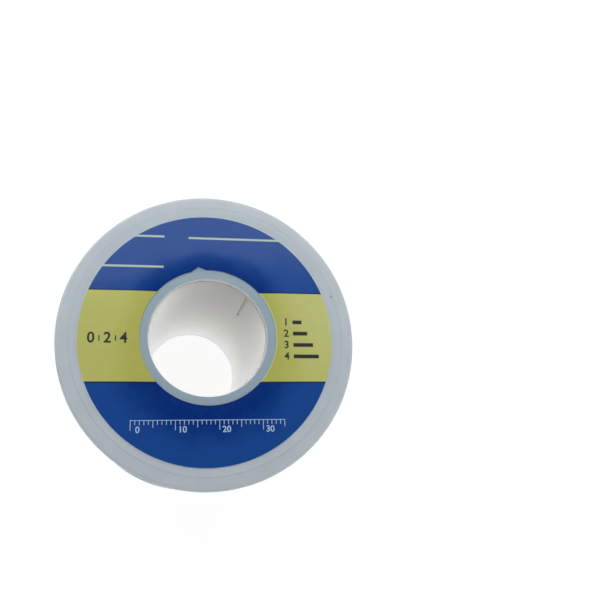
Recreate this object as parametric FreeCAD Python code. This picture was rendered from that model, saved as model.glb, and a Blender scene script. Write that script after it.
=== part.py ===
# Spool of resin-cored solder wire, standing on its rear flange.
# Two moulded flanges are pushed onto a plain barrel, the wire is wound between them,
# and a printed annular label lies on the land of the front flange.
# Origin: centre of the rear flange's outer face. +Z runs along the bore, towards the label.
# Lengths are in millimetres, angles in degrees.
import FreeCAD, Part
import math
import os

from FreeCAD import Vector

# The spool as a whole
spool_width = 67.0
flange_diameter = 70.0
bore_diameter = 28.0

# Flanges: a flat rim bead, then a sunk land that holds the label and runs in to the bore
flange_thickness = 3.5
rim_bead_width = 3.1
rim_edge_round = 1.0
land_recess = 0.6
land_step_width = 0.5
land_step_round = 0.25
hub_lip_thickness = 1.8
collar_height = 3.0
collar_wall = 1.3
bore_edge_round = 0.2

# Barrel: plain tube with an open slit at the front that took the start of the wire
barrel_wall = 1.5
barrel_edge_round = 0.25
socket_clearance = 0.05
slit_length = 18.5
slit_width = 0.5
slit_angle = 46.0

# Label: ring of printed film with a small V nick in its inner edge
label_thickness = 0.12
label_edge_margin = 2.0
hub_ring_width = 2.3
nick_depth = 0.9
nick_width = 3.6
nick_angle = 98.0

# Winding: how far it stays below the rims, and how the layers end at each flange
free_rim_height = 6.0
wire_diameter = 1.2
resin_core_diameter = 0.5
resin_core_clearance = 0.01
outer_loops = 24
lay_gap = 0.05
flange_gap = 0.05
barrel_gap = 0.1
layer_rise = 1.04
lower_turns = 8
sunken_turns = 4
sunken_drop = 0.7
climb_bend_ratio = 1.5
climb_pocket_gap = 0.1

# Where things lie, from the values above
flange_radius = flange_diameter / 2
bore_radius = bore_diameter / 2
barrel_radius = bore_radius + barrel_wall
socket_radius = barrel_radius + socket_clearance
collar_radius = socket_radius + collar_wall
barrel_end = land_recess + hub_lip_thickness
collar_top = flange_thickness + collar_height
land_radius = flange_radius - rim_bead_width
label_outer_radius = land_radius - label_edge_margin
label_inner_radius = bore_radius + hub_ring_width

rear_face = flange_thickness
front_face = spool_width - flange_thickness
wire_radius = wire_diameter / 2
lay_radius = flange_radius - free_rim_height - wire_radius
lower_lay_radius = lay_radius - layer_rise
sunken_lay_radius = lay_radius - sunken_drop
core_under_wire = wire_radius + lay_gap
lower_step = front_face - lower_turns * wire_diameter
sunken_step = rear_face + sunken_turns * wire_diameter

first_height = rear_face + flange_gap + wire_radius
last_height = front_face - flange_gap - wire_radius
pitch = (last_height - first_height) / (outer_loops - 0.5)
climb_bend = climb_bend_ratio * wire_diameter
climb_foot = math.sqrt((sunken_lay_radius - climb_bend) ** 2 - climb_bend ** 2)
climb_end_angle = math.atan2(climb_bend, climb_foot)
pocket_floor = climb_foot - wire_diameter


def corner_points(before, here, after, rounding):
    """Start, middle and end of the arc that rounds a corner, or the bare corner."""
    if rounding == 0:
        return [here]
    back, ahead = (before - here).normalize(), (after - here).normalize()
    half = back.getAngle(ahead) / 2
    reach = rounding / math.tan(half)
    sagitta = rounding / math.sin(half) - rounding
    return [here + back * reach, here + (back + ahead).normalize() * sagitta, here + ahead * reach]


def rounded_outline(corners):
    """Closed wire in the XZ plane through (radius, height, corner rounding) points."""
    count = len(corners)
    places = [Vector(x, 0, z) for x, z, _ in corners]
    rounded = [
        corner_points(places[i - 1], places[i], places[(i + 1) % count], corners[i][2])
        for i in range(count)
    ]
    edges = []
    for i, points in enumerate(rounded):
        if len(points) == 3:
            edges.append(Part.Arc(*points).toShape())
        edges.append(Part.LineSegment(points[-1], rounded[(i + 1) % count][0]).toShape())
    return Part.Wire(edges)


def turned(corners):
    """Solid of revolution about Z from (radius, height, corner rounding) points."""
    return Part.Face(rounded_outline(corners)).revolve(Vector(0, 0, 0), Vector(0, 0, 1), 360)


def ring(inner, outer, bottom, top):
    return turned([(inner, bottom, 0), (outer, bottom, 0), (outer, top, 0), (inner, top, 0)])


def flange_moulding():
    """Flange with its outer face on Z = 0 and the collar for the barrel above it."""
    rim_round = min(rim_edge_round, flange_thickness * 0.45)
    return turned([
        (bore_radius, land_recess, bore_edge_round),
        (land_radius - land_step_width, land_recess, land_step_round),
        (land_radius, 0, land_step_round),
        (flange_radius, 0, rim_round),
        (flange_radius, flange_thickness, rim_round),
        (collar_radius, flange_thickness, 0),
        (collar_radius, collar_top, bore_edge_round),
        (socket_radius, collar_top, bore_edge_round),
        (socket_radius, barrel_end, 0),
        (bore_radius, barrel_end, bore_edge_round),
    ])


def turned_over(shape):
    """The same piece at the front end of the spool, facing the other way."""
    flipped = shape.copy()
    flipped.rotate(Vector(0, 0, 0), Vector(1, 0, 0), 180)
    flipped.translate(Vector(0, 0, spool_width))
    return flipped


def barrel():
    low, high = barrel_end, spool_width - barrel_end
    tube = turned([
        (bore_radius, low, barrel_edge_round),
        (barrel_radius, low, barrel_edge_round),
        (barrel_radius, high, barrel_edge_round),
        (bore_radius, high, barrel_edge_round),
    ])
    past_end = barrel_edge_round
    cut_depth = barrel_wall * 2
    straight = slit_length - slit_width / 2
    slit = Part.makeBox(cut_depth, slit_width, straight + past_end)
    slit.translate(Vector(bore_radius - barrel_wall / 2, -slit_width / 2, high - straight))
    foot = Part.makeCylinder(
        slit_width / 2, cut_depth,
        Vector(bore_radius - barrel_wall / 2, 0, high - straight), Vector(1, 0, 0),
    )
    cutter = slit.fuse(foot)
    cutter.rotate(Vector(0, 0, 0), Vector(0, 0, 1), slit_angle)
    return tube.cut(cutter)


def front_label():
    low = spool_width - land_recess
    disc = ring(label_inner_radius, label_outer_radius, low, low + label_thickness)
    half = nick_width / 2
    root = math.sqrt(label_inner_radius ** 2 - half ** 2)
    inside = root - nick_depth
    nick = Part.makePolygon([
        Vector(inside, -half, low),
        Vector(root, -half, low),
        Vector(label_inner_radius + nick_depth, 0, low),
        Vector(root, half, low),
        Vector(inside, half, low),
        Vector(inside, -half, low),
    ])
    cutter = Part.Face(nick).extrude(Vector(0, 0, label_thickness))
    cutter.rotate(Vector(0, 0, 0), Vector(0, 0, 1), nick_angle)
    return disc.cut(cutter)


def lay_at(turns):
    """Radius and height of the wire's centre after this many turns from the rear flange."""
    if turns < 0.5:
        advance = turns ** 2
    elif turns > outer_loops - 0.5:
        advance = outer_loops - 0.5 - (outer_loops - turns) ** 2
    else:
        advance = turns - 0.25
    height = first_height + pitch * advance
    climb = pitch / 2
    rise_start = sunken_step - core_under_wire - climb
    drop_start = lower_step + core_under_wire
    risen = smooth_step((height - rise_start) / climb)
    dropped = smooth_step((height - drop_start) / climb)
    radius = sunken_lay_radius + sunken_drop * risen - layer_rise * dropped
    return radius, height


def smooth_step(share):
    share = min(max(share, 0.0), 1.0)
    return share * share * (3 - 2 * share)


def lay_point(turns):
    radius, height = lay_at(turns)
    angle = 2 * math.pi * turns + climb_end_angle
    return Vector(radius * math.cos(angle), radius * math.sin(angle), height)


def lay_direction(turns):
    small = 0.0005
    before, after = max(turns - small, 0.0), min(turns + small, float(outer_loops))
    direction = lay_point(after) - lay_point(before)
    if turns in (0, outer_loops):
        angle = 2 * math.pi * turns + climb_end_angle
        direction = Vector(-math.sin(angle), math.cos(angle), 0)
    return direction.normalize()


def arc_from(start, direction, end):
    """Arc that leaves start along direction and reaches end."""
    chord = end - start
    half_angle = direction.getAngle(chord)
    side = direction - chord * (direction.dot(chord) / chord.dot(chord))
    bulge = chord.Length / 2 * math.tan(half_angle / 2)
    middle = (start + end) * 0.5 + side.normalize() * bulge
    return Part.Arc(start, middle, end).toShape()


def biarc(start, start_direction, end, end_direction):
    """Two arcs that join start to end and keep both directions."""
    span = end - start
    along = span.dot(start_direction + end_direction)
    bend = 1 - start_direction.dot(end_direction)
    reach = (math.sqrt(along ** 2 + 2 * bend * span.dot(span)) - along) / (2 * bend)
    joint = (start + end + (start_direction - end_direction) * reach) * 0.5
    joint_direction = (joint - (start + start_direction * reach)).normalize()
    return [arc_from(start, start_direction, joint), arc_from(joint, joint_direction, end)]


def outer_layer_path():
    """From the pocket beside the rear flange, round and round, to the free end at the front."""
    foot = Vector(pocket_floor, 0, first_height)
    bend_start = Vector(climb_foot, 0, first_height)
    edges = [Part.LineSegment(foot, bend_start).toShape()]
    edges.append(arc_from(bend_start, Vector(1, 0, 0), lay_point(0)))
    quarters = 4 * outer_loops
    for i in range(quarters):
        low, high = i / 4, (i + 1) / 4
        edges += biarc(lay_point(low), lay_direction(low), lay_point(high), lay_direction(high))
    tip = lay_point(outer_loops) + lay_direction(outer_loops) * wire_diameter
    edges.append(Part.LineSegment(lay_point(outer_loops), tip).toShape())
    return Part.Wire(edges)


def free_end(diameter):
    """Cylinder along the last straight length of the wire, flush with its cut end."""
    return Part.makeCylinder(
        diameter / 2, wire_diameter, lay_point(outer_loops), lay_direction(outer_loops),
    )


def outer_layer():
    path = outer_layer_path()
    foot = path.Edges[0].Vertexes[0].Point
    section = Part.Wire(Part.Circle(foot, Vector(1, 0, 0), wire_radius).toShape())
    tube = path.makePipeShell([section], True, False)
    expected = math.pi * wire_radius ** 2 * path.Length
    print("outer layer: length %.1f mm, volume %.1f of %.1f mm3" % (path.Length, tube.Volume, expected))
    print("least gap of the wire to itself: %.3f mm" % least_self_gap(path))
    return tube.cut(free_end(resin_core_diameter + 2 * resin_core_clearance))


def least_self_gap(path):
    """Least distance between the surfaces of two turns, from points along the wire's centre."""
    step = 2.5
    points = path.discretize(int(path.Length / step))
    apart = int(math.pi * sunken_lay_radius / step)
    near = int(3 * apart)
    least = None
    for i, point in enumerate(points):
        for other in points[i + apart:i + near]:
            distance = point.distanceToPoint(other)
            least = distance if least is None else min(least, distance)
    return least - wire_diameter


def inner_layers():
    """Plain core under the outer layer, stepped where the layers above it end early."""
    low, high = rear_face + flange_gap, front_face - flange_gap
    narrow, wide = barrel_radius + barrel_gap, collar_radius + barrel_gap
    low_collar, high_collar = collar_top + flange_gap, spool_width - collar_top - flange_gap
    core = turned([
        (wide, low, 0),
        (sunken_lay_radius - core_under_wire, low, 0),
        (sunken_lay_radius - core_under_wire, sunken_step, 0),
        (lay_radius - core_under_wire, sunken_step, 0),
        (lay_radius - core_under_wire, lower_step, 0),
        (lower_lay_radius - core_under_wire, lower_step, 0),
        (lower_lay_radius - core_under_wire, high, 0),
        (wide, high, 0),
        (wide, high_collar, 0),
        (narrow, high_collar, 0),
        (narrow, low_collar, 0),
        (wide, low_collar, 0),
    ])
    side = wire_radius + climb_pocket_gap
    bend_end = lay_point(0)
    pocket = Part.makeBox(
        flange_radius - pocket_floor, side + bend_end.y, first_height + side - rear_face,
        Vector(pocket_floor, -side, rear_face),
    )
    return core.cut(pocket)


def export(node, shape):
    solids = shape.Solids
    if len(solids) != 1 or not solids[0].isValid():
        raise ValueError("%s is not one valid solid" % node)
    solids[0].exportStep("parts/%s.step" % node)
    print("%s: %.1f mm3" % (node, solids[0].Volume))


def main():
    os.makedirs("parts", exist_ok=True)
    export("rear_flange", flange_moulding())
    export("front_flange", turned_over(flange_moulding()))
    export("barrel", barrel())
    export("front_label", front_label())
    export("solder_inner_layers", inner_layers())
    export("solder_outer_layer", outer_layer())
    export("resin_core", free_end(resin_core_diameter))


main()
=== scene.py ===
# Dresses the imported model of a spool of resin-cored solder wire.
# The spool stands on its rear flange, with its label up. Everything is in metres, in the CAD frame.
import math
from functools import partial

import bmesh
import bpy
from bpy.props import FloatProperty, FloatVectorProperty, IntProperty, PointerProperty
from bpy.types import Operator, Panel, PropertyGroup
from mathutils import Matrix, Vector, noise


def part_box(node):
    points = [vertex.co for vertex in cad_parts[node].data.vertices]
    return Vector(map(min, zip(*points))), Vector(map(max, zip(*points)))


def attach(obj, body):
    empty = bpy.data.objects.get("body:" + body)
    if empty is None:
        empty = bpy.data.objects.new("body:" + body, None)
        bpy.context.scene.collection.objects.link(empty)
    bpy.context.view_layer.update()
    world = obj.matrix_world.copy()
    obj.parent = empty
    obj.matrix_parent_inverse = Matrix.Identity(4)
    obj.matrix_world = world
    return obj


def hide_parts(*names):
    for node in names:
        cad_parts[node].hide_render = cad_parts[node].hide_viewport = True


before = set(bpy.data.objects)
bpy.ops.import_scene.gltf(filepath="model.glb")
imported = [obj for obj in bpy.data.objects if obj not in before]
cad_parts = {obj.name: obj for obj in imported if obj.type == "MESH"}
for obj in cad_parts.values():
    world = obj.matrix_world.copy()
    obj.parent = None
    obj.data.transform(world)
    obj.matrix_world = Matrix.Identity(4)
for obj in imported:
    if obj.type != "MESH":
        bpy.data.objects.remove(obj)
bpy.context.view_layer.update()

bl_info = {
    "name": "Solder Wire Spool",
    "version": (1, 0, 0),
    "blender": (4, 5, 0),
    "location": "3D View > Sidebar > Spool",
    "description": "Builds the mouldings, the label and the winding of a solder spool round its CAD frame",
    "category": "Object",
}

MM = 0.001
BODY = "root"
SHARP = math.radians(50)
# The label's land dips towards the hub between these radii.
DISH_START = 15.8 * MM
DISH_END = 21.5 * MM

# Sizes that the frame gives
barrel_low, barrel_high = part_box("barrel")
spool_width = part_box("front_flange")[1].z
rim_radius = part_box("rear_flange")[1].x


def linear(hex_colour):
    """Scene-linear RGBA of an sRGB hex colour."""
    parts = [int(hex_colour[i:i + 2], 16) / 255 for i in (1, 3, 5)]
    return tuple(c / 12.92 if c <= 0.04045 else ((c + 0.055) / 1.055) ** 2.4 for c in parts) + (1.0,)


def scaled(rgba, factor, more=0.0):
    """A lighter or darker tone of a colour."""
    return tuple(min(1.0, c * factor + more) for c in rgba[:3]) + (1.0,)


# Helpers for properties


def maker(kind, convert=None, **settings):
    """A function that makes one kind of property, with a default that may need converting."""
    def make(name, description, default, **more):
        default = convert(default) if convert else default
        return kind(name=name, description=description, default=default, **settings, **more)
    return make


length = maker(FloatProperty, unit="LENGTH", precision=5)
angle = maker(FloatProperty, math.radians, subtype="ANGLE")
share = maker(FloatProperty, subtype="FACTOR")
number = maker(FloatProperty)
count = maker(IntProperty)
colour = maker(FloatVectorProperty, linear, subtype="COLOR", size=4, min=0, max=1)
spot = maker(FloatVectorProperty, subtype="TRANSLATION", unit="LENGTH", precision=5)
direction = maker(FloatVectorProperty, subtype="DIRECTION")


class SpoolMouldings(PropertyGroup):
    thickness: length("Flange Thickness", "Thickness of a flange", 3.5 * MM)
    rim_round: length("Rim Rounding", "Radius of the rim's edges", 0.8 * MM)
    bead_width: length("Rim Bead Width", "Width of the flat bead, from the rim to the groove", 3.02 * MM)
    land_recess: length("Land Recess", "Depth of the label's land by the hub, below the rim", 0.6 * MM)
    dish_depth: length("Dish Depth", "How far the land dips towards the hub", 0.35 * MM)
    groove_depth: length("Groove Depth", "Depth of the fine groove at the foot of the bead", 0.03 * MM)
    bore_radius: length("Bore Radius", "Radius of the hole for the spindle", 14.0 * MM)
    lip: length("Hub Lip", "Height of the flange's own part of the bore", 1.8 * MM)
    barrel_wall: length("Barrel Wall", "Thickness of the barrel's wall", 1.5 * MM)
    collar_wall: length("Collar Wall", "Thickness of the collar that holds the barrel", 1.3 * MM)
    collar_height: length("Collar Height", "Height of the collar above the flange", 3.0 * MM)
    slit_length: length("Slit Length", "Length of the slit in the barrel's front end", 18.5 * MM)
    slit_width: length("Slit Width", "Width of the slit at its mouth", 0.7 * MM)
    slit_taper: share("Slit Taper", "Width of the slit's foot as a share of its mouth", 0.55)
    slit_depth: length("Slit Depth", "How deep the slit is in the barrel's wall", 0.3 * MM)
    slit_angle: angle("Slit Angle", "Where the slit is, from the X axis", 46)
    segments: count("Segments", "Faces round a moulding", 288, min=24)
    plastic: colour("Flange Plastic", "Colour of the natural polypropylene", "#c4cdd3")
    barrel_plastic: colour("Barrel Plastic", "Colour of the barrel", "#f6f5f1")


class SpoolLabel(PropertyGroup):
    outer_radius: length("Outer Radius", "Radius of the label", 29.9 * MM)
    inner_radius: length("Inner Radius", "Radius of the hole in the label", 16.15 * MM)
    ring_centre: spot("Ring Centre", "Where the label's middle is stuck", (-0.23 * MM, -0.02 * MM), size=2)
    hole_centre: spot("Hole Centre", "Middle of the label's hole", (0.10 * MM, 0.115 * MM), size=2)
    thickness: length("Thickness", "Thickness of the film", 0.12 * MM)
    nick_depth: length("Nick Depth", "Depth of the V nick in the inner edge", 0.9 * MM)
    nick_width: length("Nick Width", "Width of the V nick", 3.6 * MM)
    nick_angle: angle("Nick Angle", "Where the nick is, from the X axis", 98)
    wrinkle: length("Wrinkle", "Height of the slight waves in the film", 0.035 * MM)
    band_top: length("Band Top", "Upper edge of the yellow band", 10.7 * MM)
    band_bottom: length("Band Bottom", "Lower edge of the yellow band", -10.6 * MM)
    blue: colour("Blue Ink", "Printed blue away from the hub", "#194995")
    deep_blue: colour("Deep Blue Ink", "Printed blue by the hub", "#002b77")
    yellow: colour("Yellow Ink", "Printed band", "#b6b75d")
    rule_colour: colour("Rules", "Pale printed rules", "#b7cdbb")
    dark_ink: colour("Dark Ink", "Marks on the yellow band", "#262d2b")
    pale_ink: colour("Pale Ink", "Marks on the blue field", "#a9bfe0")


class SpoolWinding(PropertyGroup):
    diameter: length("Wire Diameter", "Diameter of the wire", 1.2 * MM)
    lay_radius: length("Lay Radius", "Radius of the outer layer at the wire's centre", 28.4 * MM)
    turns: number("Turns", "Turns in sight, flange to flange", 50)
    per_turn: count("Points per Turn", "Points along one turn", 100, min=12)
    sides: count("Sides", "Sides of the wire", 12, min=3)
    drop_turn: number("Drop Turn", "Turn at which the outer layer ends", 41.5)
    layer_rise: length("Layer Rise", "How much higher one layer lies than the last", 1.04 * MM)
    sunken_turns: number("Sunken Turns", "Turns that have sunk beside the rear flange", 3.5)
    sunken_drop: length("Sunken Drop", "How far those turns have sunk", 0.7 * MM)
    unevenness: length("Unevenness", "How far a turn strays", 0.07 * MM)
    seed: count("Seed", "Changes how the turns stray", 3, min=0)
    solder: colour("Solder", "Colour of the drawn tin-lead wire", "#b2babe")
    resin: colour("Resin", "Colour of the flux core", "#b9741f")


class SpoolStudio(PropertyGroup):
    camera_place: spot("Camera Place", "Where the camera is", (-15.02 * MM, -32.83 * MM, 224.88 * MM))
    camera_forward: direction("Camera Direction", "Where the camera looks", (0.15510, 0.27865, -0.94779))
    camera_right: direction("Camera Right", "The camera's own right", (0.98763, -0.02120, 0.15539))
    focal_length: number("Focal Length", "In millimetres", 41.34)
    shift_x: number("Shift X", "Framing, sideways", 0.0783)
    shift_y: number("Shift Y", "Framing, upwards", -0.0311)
    key_radiance: number("Key", "Brightness of the key softbox", 2.1)
    fill_radiance: number("Fill", "Brightness of the left softbox", 0.43)
    low_radiance: number("Near Fill", "Brightness of the near softbox", 2.1)
    ambient: share("Ambient", "Even light of the studio", 0.30)
    table: number("Table", "Brightness of the lit table under the spool", 1.25)
    floor: colour("Floor", "Pale floor", "#fafaf8")


# Helpers for meshes


def new_piece(name, mesh, material):
    """An object for a finished mesh, which rides on the spool's one body."""
    mesh.name = name
    piece = bpy.data.objects.new(name, mesh)
    bpy.context.collection.objects.link(piece)
    mesh.materials.clear()
    mesh.materials.append(material)
    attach(piece, BODY)
    return piece


def corner(before, here, after, rounding, steps):
    """Points of the arc that rounds a corner of an outline."""
    if rounding == 0:
        return [here]
    back, ahead = (before - here).normalized(), (after - here).normalized()
    half = back.angle(ahead) / 2
    middle = here + (back + ahead).normalized() * (rounding / math.sin(half))
    start = here + back * (rounding / math.tan(half)) - middle
    end = here + ahead * (rounding / math.tan(half)) - middle
    turn = start.angle_signed(end)
    points = []
    for i in range(steps + 1):
        part = start.copy()
        part.rotate(Matrix.Rotation(-turn * i / steps, 2))
        points.append(middle + part)
    return points


def outline(corners, steps, longest):
    """Closed outline from (radius, height, rounding) corners, with loops that hold its flat faces."""
    hold = 0.06 * MM
    places = [Vector((r, z)) for r, z, _ in corners]
    total = len(corners)
    rounded = [
        corner(places[i - 1], places[i], places[(i + 1) % total], corners[i][2], steps)
        for i in range(total)
    ]
    points = []
    for i in range(total):
        points += rounded[i]
        start, end = rounded[i][-1], rounded[(i + 1) % total][0]
        span = (end - start).length
        if span > 4 * hold:
            pieces = max(1, math.ceil((span - 2 * hold) / longest))
            inner = [hold + (span - 2 * hold) * k / pieces for k in range(pieces + 1)]
            points += [start.lerp(end, d / span) for d in inner]
    return points


def lathe(name, points, segments, reshape=None):
    """Closed mesh from an outline turned about Z."""
    places, faces = [], []
    for i, (radius, height) in enumerate(points):
        here, above = i * segments, (i + 1) % len(points) * segments
        for j in range(segments):
            turn, k = 2 * math.pi * j / segments, (j + 1) % segments
            place = Vector((radius * math.cos(turn), radius * math.sin(turn), height))
            places.append(reshape(place) if reshape else place)
            faces.append((here + j, here + k, above + k, above + j))
    return solid(name, places, faces)


def solid(name, places, faces):
    """Mesh with its faces outwards and smooth, apart from its sharp edges."""
    mesh = bpy.data.meshes.new(name)
    mesh.from_pydata(places, [], faces)
    work = bmesh.new()
    work.from_mesh(mesh)
    bmesh.ops.recalc_face_normals(work, faces=work.faces)
    work.to_mesh(mesh)
    work.free()
    mesh.shade_smooth()
    mesh.set_sharp_from_angle(angle=SHARP)
    return mesh


def evaluated_mesh(piece):
    """Plain mesh of an object with its modifiers. The object is then gone."""
    depsgraph = bpy.context.evaluated_depsgraph_get()
    mesh = bpy.data.meshes.new_from_object(piece.evaluated_get(depsgraph), depsgraph=depsgraph)
    bpy.data.objects.remove(piece)
    return mesh


# Helpers for materials. Each material has a function that makes its shader. It gets a way to add
# nodes and the object's own coordinates.


def add_node(tree, kind, inputs=(), **settings):
    """A node, a shader one unless its kind is given in full. An operation or an interpolation can follow
    the kind. Inputs go by name or in order. A node or a socket is linked, and a value is set."""
    kind, _, way = kind.partition(" ")
    if way:
        settings["operation" if kind.endswith("Math") else "interpolation_type"] = way
    made = tree.nodes.new(kind if "Node" in kind else "ShaderNode" + kind)
    for name, value in settings.items():
        setattr(made, name, value)
    for key, value in inputs.items() if isinstance(inputs, dict) else enumerate(inputs):
        if isinstance(value, bpy.types.Node):
            value = next(s for s in value.outputs if s.enabled)
        if isinstance(value, bpy.types.NodeSocket):
            tree.links.new(value, made.inputs[key])
        else:
            made.inputs[key].default_value = value
    return made


def new_material(name, shader, *values):
    """A material with what its shader function makes."""
    material = bpy.data.materials.new(name)
    material.use_nodes = True
    material.node_tree.nodes.clear()
    add = partial(add_node, material.node_tree)
    place = add("TexCoord").outputs["Object"]
    add("OutputMaterial", {"Surface": shader(add, place, *values)})
    return material


def about_axis(add, place):
    """The place with no height, and its distance from the spool's axis."""
    flat = add("VectorMath MULTIPLY", (place, (1.0, 1.0, 0.0)))
    return flat, add("VectorMath LENGTH", (flat,)).outputs["Value"]


def streak(add, value, centre, core, reach, strength):
    """Full strength where value is within core of centre, and fading to nothing at reach."""
    off = add("Math SUBTRACT", (value, centre))
    off = add("Math ABSOLUTE", (off,))
    return add("MapRange", (off, core, reach, strength, 0.0))


def between(add, value, low, high, soft=0.05 * MM):
    """1 where value lies between low and high, with a slightly soft edge."""
    rise = add("MapRange", (value, low - soft, low + soft))
    fall = add("MapRange", (value, high - soft, high + soft, 1.0, 0.0))
    return add("Math MULTIPLY", (rise, fall))


def painted(add, tone, *layers):
    """A tone under layers of others. Each layer says how much it covers, and its hex colour or tone."""
    for cover, ink in layers:
        ink = linear(ink) if isinstance(ink, str) else ink
        tone = add("Mix", {"Factor": cover, "A": tone, "B": ink}, data_type="RGBA")
    return tone


def flange_plastic(add, place):
    """Natural polypropylene, injection moulded: pale, cool and translucent, with a satin skin."""
    sizes = bpy.context.scene.spool_mouldings
    _, radius = about_axis(add, place)
    height = add("SeparateXYZ", (place,)).outputs[2]
    # Melt that flowed out from the hub leaves soft clouds a few millimetres across.
    clouds = add("TexNoise", {"Vector": place, "Scale": 160.0, "Detail": 2.0, "Roughness": 0.45})
    cloudy = add("MapRange", (clouds, 0.3, 0.7))
    # The dark winding behind the land shows through as a cooler, dimmer tone. The rim and the lip of
    # the bore are clear of it, and the lip is thin enough for the tube's white to show through.
    off_lip = add("MapRange SMOOTHSTEP", (radius, 14.02 * MM, 14.14 * MM))
    lip = add("MapRange", (off_lip, 0.0, 1.0, 0.8, 0.0))
    behind = add("MapRange SMOOTHSTEP", (radius, 16.2 * MM, 34.5 * MM, 1.0, 0.0))
    behind = add("Math MULTIPLY", (behind, off_lip))
    # Dust in the fine groove at the foot of the bead, on the outer faces only
    off_middle = add("Math SUBTRACT", (height, spool_width / 2))
    off_middle = add("Math ABSOLUTE", (off_middle,))
    outer_face = add("Math GREATER_THAN", (off_middle, spool_width / 2 - 1.5 * MM))
    dust = streak(add, radius, rim_radius - sizes.bead_width, 0.1 * MM, 0.5 * MM, 0.08)
    dust = add("Math MULTIPLY", (dust, outer_face))
    # A speck of scorched plastic by the foot of the front bead
    speck = add("VectorMath DISTANCE", (place, (30.08 * MM, 10.1 * MM, 66.7 * MM)))
    speck = add("MapRange", (speck.outputs["Value"], 0.25 * MM, 0.5 * MM, 0.55, 0.0))
    tone = painted(
        add, sizes.plastic, (cloudy, scaled(sizes.plastic, 1.05)),
        (behind, "#a1b4c0"), (dust, "#8e9a9a"), (lip, "#eef0ee"), (speck, "#5a5a4e"),
    )
    # Fine grain of the polished and handled skin
    grain = add("TexNoise", {"Vector": place, "Scale": 1400.0, "Detail": 3.0})
    relief = add("Bump", {"Height": grain, "Strength": 0.08, "Distance": 0.05 * MM})
    rough = add("MapRange", (clouds, 0.3, 0.7, 0.45, 0.55))
    return add("BsdfPrincipled", {
        "Base Color": tone, "Roughness": rough, "Normal": relief, "IOR": 1.49, "Specular IOR Level": 0.32,
        "Subsurface Weight": 1.0, "Subsurface Radius": (1.15, 1.05, 1.0), "Subsurface Scale": 0.5 * MM,
    })


def barrel_plastic(add, place):
    """White polystyrene tube, extruded: warm, opaque, satin, with faint lines along its length."""
    sizes = bpy.context.scene.spool_mouldings
    stretched = add("Mapping", {"Vector": place, "Scale": (1.0, 1.0, 0.02)})
    lines = add("TexNoise", {"Vector": stretched, "Scale": 350.0, "Detail": 2.0})
    smudges = add("TexNoise", {"Vector": place, "Scale": 220.0, "Detail": 3.0})
    # Specks of grey rubbed off the spindle, half a millimetre across
    rubbed = add("TexNoise", {"Vector": place, "Scale": 600.0, "Detail": 1.5})
    soiled = add("MapRange", (rubbed, 0.7, 0.8, 0.0, 0.3))
    # The slit lies straight out along the X axis of the turned place.
    turned = add("VectorRotate", {"Vector": place, "Angle": -sizes.slit_angle}, rotation_type="Z_AXIS")
    out, beside, height = add("SeparateXYZ", (turned,)).outputs
    same_side = add("Math GREATER_THAN", (out, 0.0))
    # A faint line left by the tube's die, in line with the slit, fades towards the rear.
    die_line = streak(add, beside, 0.0, 0.05 * MM, 0.35 * MM, 0.1)
    upper = add("MapRange", (height, 15 * MM, 45 * MM))
    # One side of the mouth has greyed where the spool hung on a spindle.
    hung = math.radians(74)
    to_side = add("VectorMath DOT_PRODUCT", (place, (math.cos(hung), math.sin(hung), 0)))
    hung_side = add("MapRange SMOOTHSTEP", (to_side.outputs["Value"], 4 * MM, 14 * MM))
    mouth = add("MapRange", (height, 20 * MM, 66 * MM, 0.0, 0.7))
    # Dirt has gathered in the slit and to one side of it, but hardly at its foot.
    dirt = streak(add, beside, -0.18 * MM, 0.15 * MM, 0.6 * MM, 0.2)
    foot = barrel_high.z - sizes.slit_length
    above_foot = add("MapRange", (height, foot + 1 * MM, foot + 7 * MM))
    for operation, mark, masks in (
        ("MAXIMUM", die_line, (same_side, upper)),
        ("MAXIMUM", mouth, (hung_side,)),
        ("ADD", dirt, (above_foot, same_side)),
    ):
        for mask in masks:
            mark = add("Math MULTIPLY", (mark, mask))
        soiled = add("Math " + operation, (soiled, mark))
    plastic = sizes.barrel_plastic
    tone = painted(add, plastic, (smudges, scaled(plastic, 0.95)), (soiled, "#70706a"))
    relief = add("Bump", {"Height": lines, "Strength": 0.1, "Distance": 0.01 * MM})
    rough = add("MapRange", (smudges, 0.3, 0.7, 0.09, 0.16))
    return add("BsdfPrincipled", {
        "Base Color": tone, "Roughness": rough, "Normal": relief, "IOR": 1.59,
        "Subsurface Weight": 1.0, "Subsurface Radius": (1.0, 0.95, 0.9), "Subsurface Scale": 2.0 * MM,
    })


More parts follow.
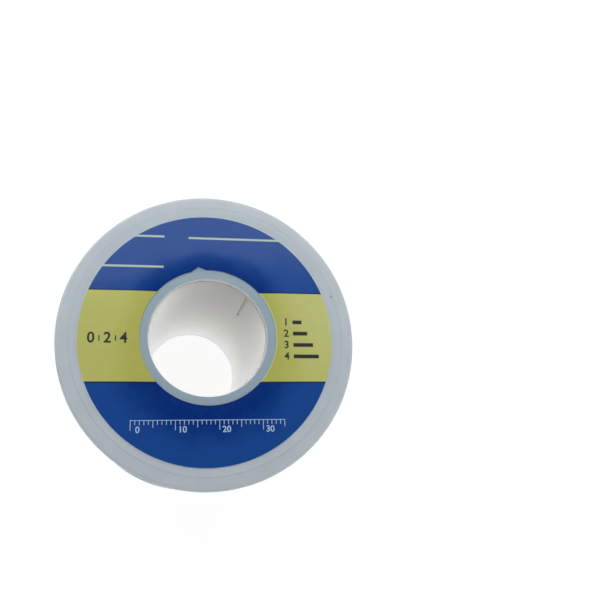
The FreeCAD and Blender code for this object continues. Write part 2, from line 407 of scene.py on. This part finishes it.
def label_film(add, place):
    """Self-adhesive printed paper under a clear film: flat inks below a semi-gloss skin."""
    sizes = bpy.context.scene.spool_label
    flat, radius = about_axis(add, place)
    x, y = add("SeparateXYZ", (place,)).outputs[:2]
    # The inks are denser by the hub, where the film dips and was pressed down.
    drift = add("TexNoise", {"Vector": place, "Scale": 130.0, "Detail": 4.0, "Roughness": 0.62})
    drifted = add("Math MULTIPLY_ADD", (drift, 7.0 * MM, radius))
    drifted = add("Math MULTIPLY_ADD", (y, 0.11, drifted))
    outward = add("MapRange SMOOTHSTEP", (drifted, 19.6 * MM, 28.4 * MM))
    mottle = add("TexNoise", {"Vector": place, "Scale": 700.0, "Detail": 3.0, "Roughness": 0.6})
    density = add("MapRange", (mottle, 0.25, 0.75, 0.0, 0.14))
    # The yellow band is paler to the right and above, and mottled as the blue is.
    rightwards = add("MapRange", (x, 16 * MM, 32 * MM, 0.0, 0.8))
    upwards = add("MapRange", (y, -9 * MM, 3 * MM, 0.45, 1.0))
    faded = add("Math MULTIPLY", (rightwards, upwards))
    thin = add("Math MULTIPLY", (density, 0.8))
    band = painted(add, sizes.yellow, (outward, "#c1c46e"), (faded, "#ced392"), (thin, "#8f9648"))
    # The yellow overlaps the blue by a hair, which prints as a thin dark line.
    trap = 0.28 * MM
    low, high = sizes.band_bottom, sizes.band_top
    overlap, in_band = between(add, y, low - trap, high + trap), between(add, y, low, high)
    layers = [(outward, sizes.blue), (density, "#1d55a6"), (overlap, "#102a52"), (in_band, band)]
    # Three plain rules cross the upper field. Each has a height and two ends, in millimetres.
    half_rule = 0.24 * MM
    for level, start, end in ((24.38, -40.0, -10.6), (16.73, -40.0, -10.69), (24.2, -4.76, 40.0)):
        across = between(add, x, start * MM, end * MM, 0.12 * MM)
        along = between(add, y, level * MM - half_rule, level * MM + half_rule, 0.1 * MM)
        layers.append((add("Math MULTIPLY", (across, along)), sizes.rule_colour))
    # Unprinted stock shows at the outer edge, and at the hole where the yellow stops short of it.
    ring_x, ring_y = sizes.ring_centre
    ring = add("VectorMath DISTANCE", (flat, (ring_x + 0.05 * MM, ring_y - 0.04 * MM, 0)))
    edge = between(add, ring.outputs["Value"], sizes.outer_radius - 0.1 * MM, 1.0, 0.04 * MM)
    hole_x, hole_y = sizes.hole_centre
    hole = add("VectorMath DISTANCE", (flat, (hole_x + 0.15 * MM, hole_y, 0)))
    rim = between(add, hole.outputs["Value"], -1.0, sizes.inner_radius + 0.04 * MM, 0.06 * MM)
    rim = add("Math MULTIPLY", (rim, in_band))
    field = painted(add, sizes.deep_blue, *layers, (edge, "#c9d3de"), (rim, "#cdd3a8"))
    # Light handling marks, and an orange-peel skin a few tenths of a millimetre across
    marks = add("TexNoise", {"Vector": place, "Scale": 120.0, "Detail": 4.0})
    rough = add("MapRange", (marks, 0.3, 0.7, 0.15, 0.22))
    peel = add("TexNoise", {"Vector": place, "Scale": 1800.0, "Detail": 1.0})
    relief = add("Bump", {"Height": peel, "Strength": 0.1, "Distance": 0.03 * MM})
    return add("BsdfPrincipled", {
        "Base Color": field, "Roughness": rough, "Normal": relief, "IOR": 1.5, "Specular IOR Level": 0.25,
    })


def printing_ink(add, place, ink):
    """Ink that stands a hundredth of a millimetre on the film: flat colour with the film's gloss."""
    wear = add("TexNoise", {"Vector": place, "Scale": 1500.0, "Detail": 3.0})
    tone = painted(add, ink, (wear, scaled(ink, 1.15, 0.004)))
    rough = add("MapRange", (wear, 0.3, 0.7, 0.28, 0.38))
    return add("BsdfPrincipled", {"Base Color": tone, "Roughness": rough, "IOR": 1.5})


def drawn_solder(add, place):
    """Drawn tin-lead wire: soft grey metal, satin, with die lines along it and a dull bloom in places."""
    solder = bpy.context.scene.spool_winding.solder
    _, radius = about_axis(add, place)
    height = add("SeparateXYZ", (place,)).outputs[2]
    # Die lines: noise that changes quickly across the wire and slowly along it
    along = add("Attribute", attribute_name="along").outputs["Fac"]
    along = add("Math MULTIPLY", (along, 0.02))
    across = add("CombineXYZ", (radius, height, along))
    lines = add("TexNoise", {"Vector": across, "Scale": 6500.0, "Detail": 2.0})
    bloom = add("TexNoise", {"Vector": place, "Scale": 130.0, "Detail": 5.0, "Roughness": 0.6})
    tone = painted(add, solder, (add("MapRange", (bloom, 0.35, 0.7)), scaled(solder, 0.78)))
    rough = add("MapRange", (bloom, 0.3, 0.7, 0.14, 0.22))
    relief = add("Bump", {"Height": lines, "Strength": 0.06, "Distance": 0.02 * MM})
    return add("BsdfPrincipled", {
        "Base Color": tone, "Metallic": 1.0, "Roughness": rough, "Normal": relief,
    })


def wound_solder(add, place):
    """The layers under the outer one: the same metal, ribbed at the wire's pitch, dark between the turns."""
    sizes = bpy.context.scene.spool_winding
    height = add("SeparateXYZ", (place,)).outputs[2]
    phase = add("Math MULTIPLY", (height, math.pi / sizes.diameter))
    ribs = add("Math ABSOLUTE", (add("Math SINE", (phase,)),))
    tone = painted(add, scaled(sizes.solder, 0.15), (ribs, scaled(sizes.solder, 0.7)))
    relief = add("Bump", {"Height": ribs, "Strength": 1.0, "Distance": 0.5 * MM})
    return add("BsdfPrincipled", {
        "Base Color": tone, "Metallic": 1.0, "Roughness": 0.45, "Normal": relief,
    })


def flux_resin(add, place):
    """Rosin flux: brittle amber resin, clear and glossy where it broke."""
    resin = bpy.context.scene.spool_winding.resin
    grain = add("TexNoise", {"Vector": place, "Scale": 9000.0, "Detail": 3.0})
    tone = painted(add, resin, (grain, scaled(resin, 0.6)))
    relief = add("Bump", {"Height": grain, "Strength": 0.5, "Distance": 0.05 * MM})
    return add("BsdfPrincipled", {
        "Base Color": tone, "Roughness": 0.25, "Normal": relief, "IOR": 1.54,
        "Subsurface Weight": 0.5, "Subsurface Radius": (1.0, 0.5, 0.1), "Subsurface Scale": 0.3 * MM,
    })


# Shapes


def land_height(radius):
    """Depth of the label's land below the rim plane: it dips a little towards the hub."""
    sizes = bpy.context.scene.spool_mouldings
    outwards = min(max((radius - DISH_START) / (DISH_END - DISH_START), 0.0), 1.0)
    return sizes.land_recess - sizes.dish_depth * (1 - (1 - outwards) ** 2)


def flange_outline():
    """Outline of a flange with its outer face on Z = 0 and its collar above."""
    s = bpy.context.scene.spool_mouldings
    socket_play = 0.05 * MM
    socket = s.bore_radius + s.barrel_wall + socket_play
    collar = socket + s.collar_wall
    collar_top = s.thickness + s.collar_height
    lip_end = s.land_recess + s.lip
    edge = 0.2 * MM
    # Outside the label the land slopes up nearly to the bead, and the groove lies between the two.
    flat_land = s.land_recess - s.dish_depth
    groove = rim_radius - s.bead_width
    ledge = 0.04 * MM
    return outline([
        (s.bore_radius, s.land_recess, edge),
        (DISH_START, s.land_recess, 0),
        (DISH_END, flat_land, 0),
        (groove - 2.03 * MM, flat_land, 0.5 * MM),
        (groove - 0.33 * MM, ledge, edge),
        (groove, ledge + s.groove_depth, edge),
        (groove + 0.37 * MM, ledge / 2, edge),
        (rim_radius - 1.7 * MM, 0, 0.8 * MM),
        (rim_radius, 0, s.rim_round),
        (rim_radius, s.thickness, s.rim_round),
        (collar, s.thickness, 0),
        (collar, collar_top, edge),
        (socket, collar_top, edge),
        (socket, lip_end, 0),
        (s.bore_radius, lip_end, edge),
    ], steps=7, longest=1.0 * MM)


def smooth_dish(place):
    """Rounds the land's dip, which the outline has as a straight slope."""
    radius = math.hypot(place.x, place.y)
    on_outer_face = place.z < bpy.context.scene.spool_mouldings.land_recess + 0.01 * MM
    if DISH_START < radius < DISH_END and on_outer_face:
        return Vector((place.x, place.y, land_height(radius)))
    return place


class SPOOL_OT_flanges(Operator):
    """Two moulded flanges, the front one turned over"""
    bl_idname = "spool.flanges"
    bl_label = "Flanges"

    def execute(self, context):
        sizes = context.scene.spool_mouldings
        material = new_material("natural_polypropylene", flange_plastic)
        points = flange_outline()
        for node in ("rear_flange", "front_flange"):
            mesh = lathe(node, points, sizes.segments, smooth_dish)
            if node == "front_flange":
                mesh.transform(Matrix.Rotation(math.pi, 4, "X"))
                mesh.transform(Matrix.Translation((0, 0, spool_width)))
            piece = new_piece(node + "_moulding", mesh, material)
            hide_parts(node)
        return {"FINISHED"}


class SPOOL_OT_barrel(Operator):
    """Plain tube with an open slit at its front end"""
    bl_idname = "spool.barrel"
    bl_label = "Barrel"

    def execute(self, context):
        s = context.scene.spool_mouldings
        edge = 0.25 * MM
        tight_edge = 0.06 * MM
        outer = s.bore_radius + s.barrel_wall
        tube = lathe("barrel_tube", outline([
            (s.bore_radius, barrel_low.z, tight_edge),
            (outer, barrel_low.z, edge),
            (outer, barrel_high.z, edge),
            (s.bore_radius, barrel_high.z, edge),
        ], steps=6, longest=2.5 * MM), s.segments)
        blank = bpy.data.objects.new("barrel_blank", tube)
        cutter = bpy.data.objects.new("slit_cutter", self.slit_block(s))
        context.collection.objects.link(blank)
        context.collection.objects.link(cutter)
        cut = blank.modifiers.new("Slit", "BOOLEAN")
        cut.operation = "DIFFERENCE"
        cut.solver = "EXACT"
        cut.object = cutter
        mesh = evaluated_mesh(blank)
        bpy.data.objects.remove(cutter)
        if len(mesh.vertices) == len(tube.vertices):
            raise RuntimeError("the slit was not cut")
        mesh.shade_smooth()
        mesh.set_sharp_from_angle(angle=SHARP)
        piece = new_piece("barrel_tube", mesh, new_material("white_polystyrene_tube", barrel_plastic))
        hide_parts("barrel")
        return {"FINISHED"}

    def slit_block(self, s):
        """Block with a narrower half-round foot that cuts the slit."""
        half = s.slit_width / 2
        foot_half = half * s.slit_taper
        foot = barrel_high.z - s.slit_length + foot_half
        over = 1 * MM
        steps = 12
        side = [(half, barrel_high.z + over), (-half, barrel_high.z + over)]
        for i in range(steps + 1):
            turn = math.pi * i / steps
            side.append((-foot_half * math.cos(turn), foot - foot_half * math.sin(turn)))
        near, far = s.bore_radius - over, s.bore_radius + s.slit_depth
        places = [Vector((x, y, z)) for x in (near, far) for y, z in side]
        total = len(side)
        faces = [tuple(range(total)), tuple(range(2 * total - 1, total - 1, -1))]
        faces += [(i, (i + 1) % total, total + (i + 1) % total, total + i) for i in range(total)]
        mesh = solid("slit_cutter", places, faces)
        mesh.transform(Matrix.Rotation(s.slit_angle, 4, "Z"))
        return mesh


def film_height(x, y):
    """Height of the label's upper face: the land's dip with the film's own slight waves."""
    label = bpy.context.scene.spool_label
    radius = math.hypot(x, y)
    # The outer edge is pressed down, so it has less of the long and the short waves.
    long_wave, short_wave, pressed = 9.0 * MM, 4.0 * MM, 2.5 * MM
    free = min(1.0, max(0.0, (label.outer_radius - radius) / pressed))
    wave = noise.noise(Vector((x, y, 0)) / long_wave) + 0.5 * noise.noise(Vector((x, y, 0.02)) / short_wave)
    lifted = label.wrinkle * (0.35 + 0.65 * free) * (0.9 + wave)
    return spool_width - land_height(radius) + label.thickness + lifted


def off_centre(centre, turn):
    """How much further out a circle's edge is on one side, when its middle is a little aside."""
    return centre[0] * math.cos(turn) + centre[1] * math.sin(turn)


class SPOOL_OT_label(Operator):
    """Ring of printed film on the front flange's land"""
    bl_idname = "spool.label"
    bl_label = "Label"

    def execute(self, context):
        label = context.scene.spool_label
        half_nick = math.asin(label.nick_width / 2 / label.inner_radius)
        turns = [math.radians(i) for i in range(360)]
        turns = sorted(turns + [label.nick_angle - half_nick, label.nick_angle + half_nick])
        rings = 30
        tops, bottoms = [], []
        for i in range(rings + 1):
            for turn in turns:
                start = self.inner_edge(label, turn, half_nick) + off_centre(label.hole_centre, turn)
                end = label.outer_radius + off_centre(label.ring_centre, turn)
                radius = start + (end - start) * i / rings
                x, y = radius * math.cos(turn), radius * math.sin(turn)
                z = film_height(x, y)
                tops.append(Vector((x, y, z)))
                bottoms.append(Vector((x, y, z - label.thickness)))
        total = len(turns)
        under = len(tops)
        last = rings * total
        faces = []
        for j in range(total):
            k = (j + 1) % total
            for i in range(rings):
                here, above = i * total, (i + 1) * total
                a, b, c, d = here + j, here + k, above + k, above + j
                faces += [(a, b, c, d), (under + d, under + c, under + b, under + a)]
            faces.append((j, under + j, under + k, k))
            faces.append((last + k, under + last + k, under + last + j, last + j))
        mesh = solid("label_ring", tops + bottoms, faces)
        piece = new_piece("label_ring", mesh, new_material("printed_label_film", label_film))
        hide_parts("front_label")
        return {"FINISHED"}

    def inner_edge(self, label, turn, half_nick):
        """Radius of the inner edge, which the V nick raises."""
        away = abs(turn - label.nick_angle)
        if away >= half_nick:
            return label.inner_radius
        half = label.nick_width / 2
        root = math.sqrt(label.inner_radius ** 2 - half ** 2)
        apex = label.inner_radius + label.nick_depth
        slope = math.tan(away)
        along = apex * slope / (half + (apex - root) * slope)
        return math.hypot(apex - along * (apex - root), half * along)


def figures(text, size):
    """Points and faces of a row of digits about its middle."""
    curve = bpy.data.curves.new("figures", "FONT")
    curve.body = text
    curve.size = size * MM
    curve.align_x = "CENTER"
    curve.align_y = "CENTER"
    curve.resolution_u = 4
    curve.offset = 0.02 * size * MM
    row = bpy.data.objects.new("figures", curve)
    bpy.context.collection.objects.link(row)
    flat = evaluated_mesh(row)
    points = [(v.co.x, v.co.y) for v in flat.vertices]
    faces = [tuple(p.vertices) for p in flat.polygons]
    bpy.data.meshes.remove(flat)
    bpy.data.curves.remove(curve)
    return points, faces


def bar(wide, high):
    """Points and faces of a bar about its middle, in small cells that can follow the film."""
    cell = 0.3
    across, up = max(1, round(wide / cell)), max(1, round(high / cell))
    points, faces = [], []
    for i in range(across + 1):
        for j in range(up + 1):
            points.append((wide * MM * (i / across - 0.5), high * MM * (j / up - 0.5)))
            if i < across and j < up:
                here, beside = i * (up + 1) + j, (i + 1) * (up + 1) + j
                faces.append((here, beside, beside + 1, here + 1))
    return points, faces


def ink_mesh(name, shapes):
    """Printed shapes laid on the film. Each is ((points, faces), x, y), its place in millimetres."""
    proud = 0.012 * MM
    places, faces = [], []
    for (points, cells), x, y in shapes:
        first = len(places)
        places += [(x * MM + px, y * MM + py) for px, py in points]
        faces += [tuple(first + i for i in cell) for cell in cells]
    mesh = bpy.data.meshes.new(name)
    mesh.from_pydata([(px, py, film_height(px, py) + proud) for px, py in places], [], faces)
    work = bmesh.new()
    work.from_mesh(mesh)
    bmesh.ops.remove_doubles(work, verts=work.verts, dist=1e-7)
    for face in work.faces:
        if face.normal.z < 0:
            face.normal_flip()
    work.to_mesh(mesh)
    work.free()
    return mesh


class SPOOL_OT_print(Operator):
    """Plain scales and figures on the label"""
    bl_idname = "spool.print"
    bl_label = "Printed Scales"

    def execute(self, context):
        label = context.scene.spool_label
        for name, shapes, ink, tone in (
            ("label_scale", self.scale(), "pale_ink", label.pale_ink),
            ("label_figures", self.rows(), "dark_ink", label.dark_ink),
        ):
            piece = new_piece(name, ink_mesh(name, shapes), new_material(ink, printing_ink, tone))
        return {"FINISHED"}

    def scale(self):
        """Millimetre scale in the lower blue field, hung from a thin line. Sizes are in millimetres."""
        left, top, long = -17.5, -19.3, 35
        shapes = []
        for i in range(long + 1):
            high = 2.2 if i % 10 == 0 else 1.6 if i % 5 == 0 else 1.0
            shapes.append((bar(0.16, high), left + i, top - high / 2))
        for i in range(0, long, 10):
            shapes.append((figures(str(i), 2.0), left + i + 1.6, top - 2.1))
        shapes.append((bar(long + 0.16, 0.14), left + long / 2, top))
        return shapes

    def rows(self):
        """Figures on the yellow band: strokes on its left, growing bars on its right. In millimetres."""
        left, step, middle = -26.9, 3.7, -0.65
        shapes = []
        for i in range(3):
            shapes.append((figures(str(2 * i), 3.5), left + step * i, middle))
            if i < 2:
                shapes.append((bar(0.25, 1.3), left + step * (i + 0.5), middle))
        for i in range(4):
            wide, y = 2.2 + 1.3 * i, 3.6 - 2.75 * i
            shapes.append((figures(str(i + 1), 2.5), 18.6, y))
            shapes.append((bar(wide, 0.9), 20.2 + wide / 2, y))
        return shapes


# The winding, as Geometry Nodes


def winding_tree():
    """Wire on a helix whose radius and height follow the layers."""
    tree = bpy.data.node_groups.new("Solder Winding", "GeometryNodeTree")
    for kind, names in (
        ("Int", ("Points", "Sides")),
        ("Float", (
            "Turns", "Wire Diameter", "Lay Radius", "First Height", "Last Height", "Start Angle",
            "Drop Turn", "Layer Rise", "Sunken Turns", "Sunken Drop", "Unevenness", "Seed",
        )),
        ("Material", ("Material",)),
    ):
        for name in names:
            tree.interface.new_socket(name, in_out="INPUT", socket_type="NodeSocket" + kind)
    tree.interface.new_socket("Geometry", in_out="OUTPUT", socket_type="NodeSocketGeometry")
    add = partial(add_node, tree)
    given = add("NodeGroupInput").outputs
    wire, first, last = given["Wire Diameter"], given["First Height"], given["Last Height"]

    # Turns wound up to each point of a plain line, and the direction there
    line = add("GeometryNodeCurvePrimitiveLine")
    points = add("GeometryNodeResampleCurve", {"Curve": line, "Count": given["Points"]}, mode="COUNT")
    last_point = add("Math SUBTRACT", (given["Points"], 1.0))
    turn = add("Math DIVIDE", (add("GeometryNodeInputIndex"), last_point))
    turn = add("Math MULTIPLY", (turn, given["Turns"]))
    wound = add("Math MULTIPLY", (turn, 2 * math.pi))
    around = add("Math ADD", (wound, given["Start Angle"]))
    cosine = add("Math COSINE", (around,))
    sine = add("Math SINE", (around,))

    # Height: a wire's width each turn, back half a width where the outer layer ends, level at the end
    half_wire = add("Math MULTIPLY", (wire, 0.5))
    jog_end = add("Math ADD", (given["Drop Turn"], 0.12))
    jog = add("MapRange SMOOTHSTEP", (turn, given["Drop Turn"], jog_end, 0.0, half_wire))
    height = add("Math MULTIPLY_ADD", (turn, wire, first))
    height = add("Math SUBTRACT", (height, jog))
    height = add("Math MINIMUM", (height, last))

    # Radius: up out of the flange's pocket, up from the sunken turns, and down where the outer layer ends.
    # Each change is at a turn, from so much before it to so much after, from one depth to another.
    pocket = add("Math MULTIPLY", (wire, 1.9))
    lay = given["Lay Radius"]
    for at, before, after, depth, new_depth in (
        (0.0, 0.0, 0.03, pocket, 0.0),
        (given["Sunken Turns"], -0.25, 0.45, given["Sunken Drop"], 0.0),
        (given["Drop Turn"], -0.07, 0.07, 0.0, given["Layer Rise"]),
    ):
        start = add("Math ADD", (at, before))
        end = add("Math ADD", (at, after))
        down = add("MapRange SMOOTHSTEP", (turn, start, end, depth, new_depth))
        lay = add("Math SUBTRACT", (lay, down))

    # Turns stray less within three millimetres of the flanges, which hold them.
    above = add("Math SUBTRACT", (height, first))
    below = add("Math SUBTRACT", (last, height))
    free = add("Math MINIMUM", (above, below))
    free = add("MapRange SMOOTHSTEP", (free, 0.0, 3.0 * MM))
    stray = add("Math MULTIPLY", (given["Unevenness"], free))

    # They lean together in groups along the spool, and each stands a little high or low.
    on_cylinder = add("CombineXYZ", (cosine, sine, height))
    strays = []
    for grain, seeds, reach in (((0.9, 0.9, 260.0), 1.0, 4.0), ((0.7, 0.7, 700.0), 2.0, 2.0)):
        seed = add("CombineXYZ", {2: add("Math MULTIPLY", (given["Seed"], seeds))})
        at = add("VectorMath MULTIPLY", (on_cylinder, grain))
        at = add("VectorMath ADD", (at, seed))
        level = add("TexNoise", {"Vector": at, "Scale": 1.0, "Detail": 1.0})
        off = add("Math SUBTRACT", (level, 0.5))
        most = add("Math MULTIPLY", (stray, reach))
        strays.append(add("Math MULTIPLY", (off, most)))
    height = add("Math ADD", (height, strays[0]))
    lay = add("Math ADD", (lay, strays[1]))

    # The wire along those places, with its own length stored for the die lines
    x = add("Math MULTIPLY", (lay, cosine))
    y = add("Math MULTIPLY", (lay, sine))
    place = add("CombineXYZ", (x, y, height))
    laid = add("GeometryNodeSetPosition", {"Geometry": points, "Position": place})
    along = add("Math MULTIPLY", (wound, given["Lay Radius"]))
    marked = add(
        "GeometryNodeStoreNamedAttribute", {"Geometry": laid, "Name": "along", "Value": along},
        data_type="FLOAT", domain="POINT",
    )
    section = add(
        "GeometryNodeCurvePrimitiveCircle", {"Resolution": given["Sides"], "Radius": half_wire},
        mode="RADIUS",
    )
    swept = add(
        "GeometryNodeCurveToMesh", {"Curve": marked, "Profile Curve": section, "Fill Caps": True},
    )
    smooth = add("GeometryNodeSetShadeSmooth", {"Geometry": swept})
    real = add("GeometryNodeRealizeInstances", {"Geometry": smooth})
    finished = add("GeometryNodeSetMaterial", {"Geometry": real, "Material": given["Material"]})
    add("NodeGroupOutput", {"Geometry": finished})
    return tree


class SPOOL_OT_winding(Operator):
    """The turns of wire that one sees, from flange to flange"""
    bl_idname = "spool.winding"
    bl_label = "Winding"

    def execute(self, context):
        s = context.scene.spool_winding
        rear_face = context.scene.spool_mouldings.thickness
        inset = 0.05 * MM + s.diameter / 2
        # The cut tip reaches a little past the last turn, nearly a wire's width.
        tip_turns = (s.diameter - 0.03 * MM) / (2 * math.pi * (s.lay_radius - s.layer_rise))
        # The wire comes up out of the flange's pocket in a bend, and the first turn starts where that ends.
        bend = 1.5 * s.diameter
        bend_foot = math.sqrt((s.lay_radius - s.sunken_drop - bend) ** 2 - bend ** 2)
        material = new_material("drawn_tin_lead_solder", drawn_solder)
        values = {
            "Points": round(s.turns * s.per_turn) + 1,
            "Sides": s.sides,
            "Turns": s.turns + tip_turns,
            "Wire Diameter": s.diameter,
            "Lay Radius": s.lay_radius,
            "First Height": rear_face + inset,
            "Last Height": spool_width - rear_face - inset,
            "Start Angle": math.atan2(bend, bend_foot),
            "Drop Turn": s.drop_turn,
            "Layer Rise": s.layer_rise,
            "Sunken Turns": s.sunken_turns,
            "Sunken Drop": s.sunken_drop,
            "Unevenness": s.unevenness,
            "Seed": float(s.seed),
            "Material": material,
        }
        blank = bpy.data.objects.new("winding", bpy.data.meshes.new("winding"))
        context.collection.objects.link(blank)
        wind = blank.modifiers.new("Winding", "NODES")
        wind.node_group = winding_tree()
        for socket in wind.node_group.interface.items_tree:
            if socket.in_out == "INPUT":
                wind[socket.identifier] = values[socket.name]
        mesh = evaluated_mesh(blank)
        if len(mesh.polygons) < s.turns * s.per_turn * s.sides * 0.9:
            raise RuntimeError("the winding has too few faces")
        mesh.set_sharp_from_angle(angle=math.radians(60))
        piece = new_piece("solder_winding", mesh, material)
        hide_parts("solder_outer_layer")
        return {"FINISHED"}


class SPOOL_OT_cad_finishes(Operator):
    """Finishes of the pieces that come from the CAD model as they are"""
    bl_idname = "spool.cad_finishes"
    bl_label = "CAD Finishes"

    def execute(self, context):
        for node, name, shader in (
            ("solder_inner_layers", "wound_solder_layers", wound_solder),
            ("resin_core", "amber_flux_resin", flux_resin),
        ):
            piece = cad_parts[node]
            piece.data.materials.clear()
            piece.data.materials.append(new_material(name, shader))
        return {"FINISHED"}


# The stage


def lit_floor(add, place):
    """A lit sheet of white acrylic, so that it stays bright under the spool and lights its bore."""
    s = bpy.context.scene.spool_studio
    sheet = add("BsdfDiffuse", {"Color": (0.15, 0.15, 0.15, 1)})
    under = add("Emission", {"Color": s.floor, "Strength": s.table})
    lit = add("AddShader", (sheet, under))
    # Where the floor is seen, most of its white is its own, so the spool's shadow stays but is faint.
    # Under the spool it is a little less bright, and far off it meets the white behind.
    painted_floor = add("BsdfDiffuse", {"Color": (0.2, 0.2, 0.2, 1)})
    away = add("VectorMath LENGTH", (place,)).outputs["Value"]
    under_spool = add("MapRange", (away, 15 * MM, 33 * MM, 0.852, 0.9))
    far_off = add("MapRange", (away, 0.2, 0.8, 0.0, 0.075))
    level = add("Math ADD", (under_spool, far_off))
    glow = add("Emission", {"Color": (1, 1, 1, 1), "Strength": level})
    white = add("AddShader", (painted_floor, glow))
    rays = add("LightPath").outputs
    seen = rays["Is Camera Ray"]
    for other in ("Is Glossy Ray", "Is Transmission Ray"):
        seen = add("Math MAXIMUM", (seen, rays[other]))
    return add("MixShader", (seen, lit, white))


class SPOOL_OT_stage(Operator):
    """Camera, pale floor and soft studio light"""
    bl_idname = "spool.stage"
    bl_label = "Stage"

    def execute(self, context):
        s = context.scene.spool_studio
        self.camera(context, s)
        self.floor(context)
        self.world(context, s)
        # Azimuth from the X axis and elevation in degrees, distance and size in metres, and radiance
        self.softbox(context, "key_softbox", 97, 53.5, 0.22, (0.30, 0.15), s.key_radiance)
        self.softbox(context, "fill_softbox_left", 215, 25, 1.0, (0.7, 0.5), s.fill_radiance)
        self.softbox(context, "fill_softbox_right", 318, 35, 0.3, (0.16, 0.16), s.low_radiance)
        context.scene.view_settings.view_transform = "Standard"
        return {"FINISHED"}

    def camera(self, context, s):
        data = bpy.data.cameras.new("camera")
        data.lens = s.focal_length
        data.sensor_width = 36
        data.shift_x = s.shift_x
        data.shift_y = s.shift_y
        data.clip_start = 0.01
        data.clip_end = 20
        camera = bpy.data.objects.new("camera", data)
        context.collection.objects.link(camera)
        forward = Vector(s.camera_forward).normalized()
        right = Vector(s.camera_right)
        right = (right - forward * right.dot(forward)).normalized()
        up = right.cross(forward)
        turned = Matrix((right, up, -forward)).transposed().to_4x4()
        camera.matrix_world = Matrix.Translation(s.camera_place) @ turned
        context.scene.camera = camera

    def softbox(self, context, name, azimuth, elevation, distance, size, radiance):
        """Area lamp that faces the spool. Its power gives the radiance at its face."""
        target = Vector((0, 0, 0.04))
        data = bpy.data.lights.new(name, "AREA")
        data.shape = "RECTANGLE"
        data.size, data.size_y = size
        data.energy = radiance * math.pi * size[0] * size[1]
        lamp = bpy.data.objects.new(name, data)
        context.collection.objects.link(lamp)
        turn, rise = math.radians(azimuth), math.radians(elevation)
        away = Vector((math.cos(turn) * math.cos(rise), math.sin(turn) * math.cos(rise), math.sin(rise)))
        facing = away.to_track_quat("Z", "Y").to_matrix().to_4x4()
        lamp.matrix_world = Matrix.Translation(target + away * distance) @ facing
        lamp.visible_camera = False

    def floor(self, context):
        half = 4.0
        below = -0.02 * MM
        mesh = bpy.data.meshes.new("floor")
        mesh.from_pydata(
            [(-half, -half, below), (half, -half, below), (half, half, below), (-half, half, below)],
            [], [(0, 1, 2, 3)],
        )
        mesh.materials.append(new_material("pale_floor", lit_floor))
        floor = bpy.data.objects.new("floor", mesh)
        context.collection.objects.link(floor)

    def world(self, context, s):
        world = bpy.data.worlds.new("studio")
        world.use_nodes = True
        world.node_tree.nodes.clear()
        add = partial(add_node, world.node_tree)
        height = add("SeparateXYZ", (add("TexCoord").outputs["Generated"],)).outputs[2]
        # Glossy surfaces see the white backdrop round the spool and the dim ceiling above it.
        backdrop = add("MapRange SMOOTHSTEP", (height, 0.0, 0.15, 1.0, 0.04))
        rays = add("LightPath").outputs
        seen = add("Math MAXIMUM", (rays["Is Camera Ray"], rays["Is Transmission Ray"]))
        even = add("Mix", {"Factor": rays["Is Glossy Ray"], "A": s.ambient, "B": backdrop})
        level = add("Mix", {"Factor": seen, "A": even, "B": 1.0})
        glow = add("Background", {"Color": (1, 1, 1, 1), "Strength": level})
        add("OutputWorld", {"Surface": glow})
        context.scene.world = world


class SPOOL_PT_panel(Panel):
    """The spool's sizes and colours, and the steps that build it"""
    bl_idname = "SPOOL_PT_panel"
    bl_label = "Solder Wire Spool"
    bl_space_type = "VIEW_3D"
    bl_region_type = "UI"
    bl_category = "Spool"

    def draw(self, context):
        for title, name, group, operators in PARTS:
            box = self.layout.box()
            box.label(text=title)
            for key in group.__annotations__:
                box.prop(getattr(context.scene, name), key)
            for operator in operators:
                box.operator(operator.bl_idname)


# Each part of the panel, with the name and class of its properties and its operators
PARTS = (
    ("Stage", "spool_studio", SpoolStudio, (SPOOL_OT_stage,)),
    ("Mouldings", "spool_mouldings", SpoolMouldings, (SPOOL_OT_flanges, SPOOL_OT_barrel)),
    ("Label", "spool_label", SpoolLabel, (SPOOL_OT_label, SPOOL_OT_print)),
    ("Winding", "spool_winding", SpoolWinding, (SPOOL_OT_winding, SPOOL_OT_cad_finishes)),
)
CLASSES = [each for _, _, group, operators in PARTS for each in (group, *operators)] + [SPOOL_PT_panel]


def register():
    for each in CLASSES:
        bpy.utils.register_class(each)
    for _, name, group, _ in PARTS:
        setattr(bpy.types.Scene, name, PointerProperty(type=group))


def unregister():
    for _, name, _, _ in PARTS:
        delattr(bpy.types.Scene, name)
    for each in reversed(CLASSES):
        bpy.utils.unregister_class(each)


def main():
    register()
    bpy.ops.spool.stage()
    bpy.ops.spool.flanges()
    bpy.ops.spool.barrel()
    bpy.ops.spool.label()
    bpy.ops.spool.print()
    bpy.ops.spool.winding()
    bpy.ops.spool.cad_finishes()


if __name__ == "__main__":
    main()
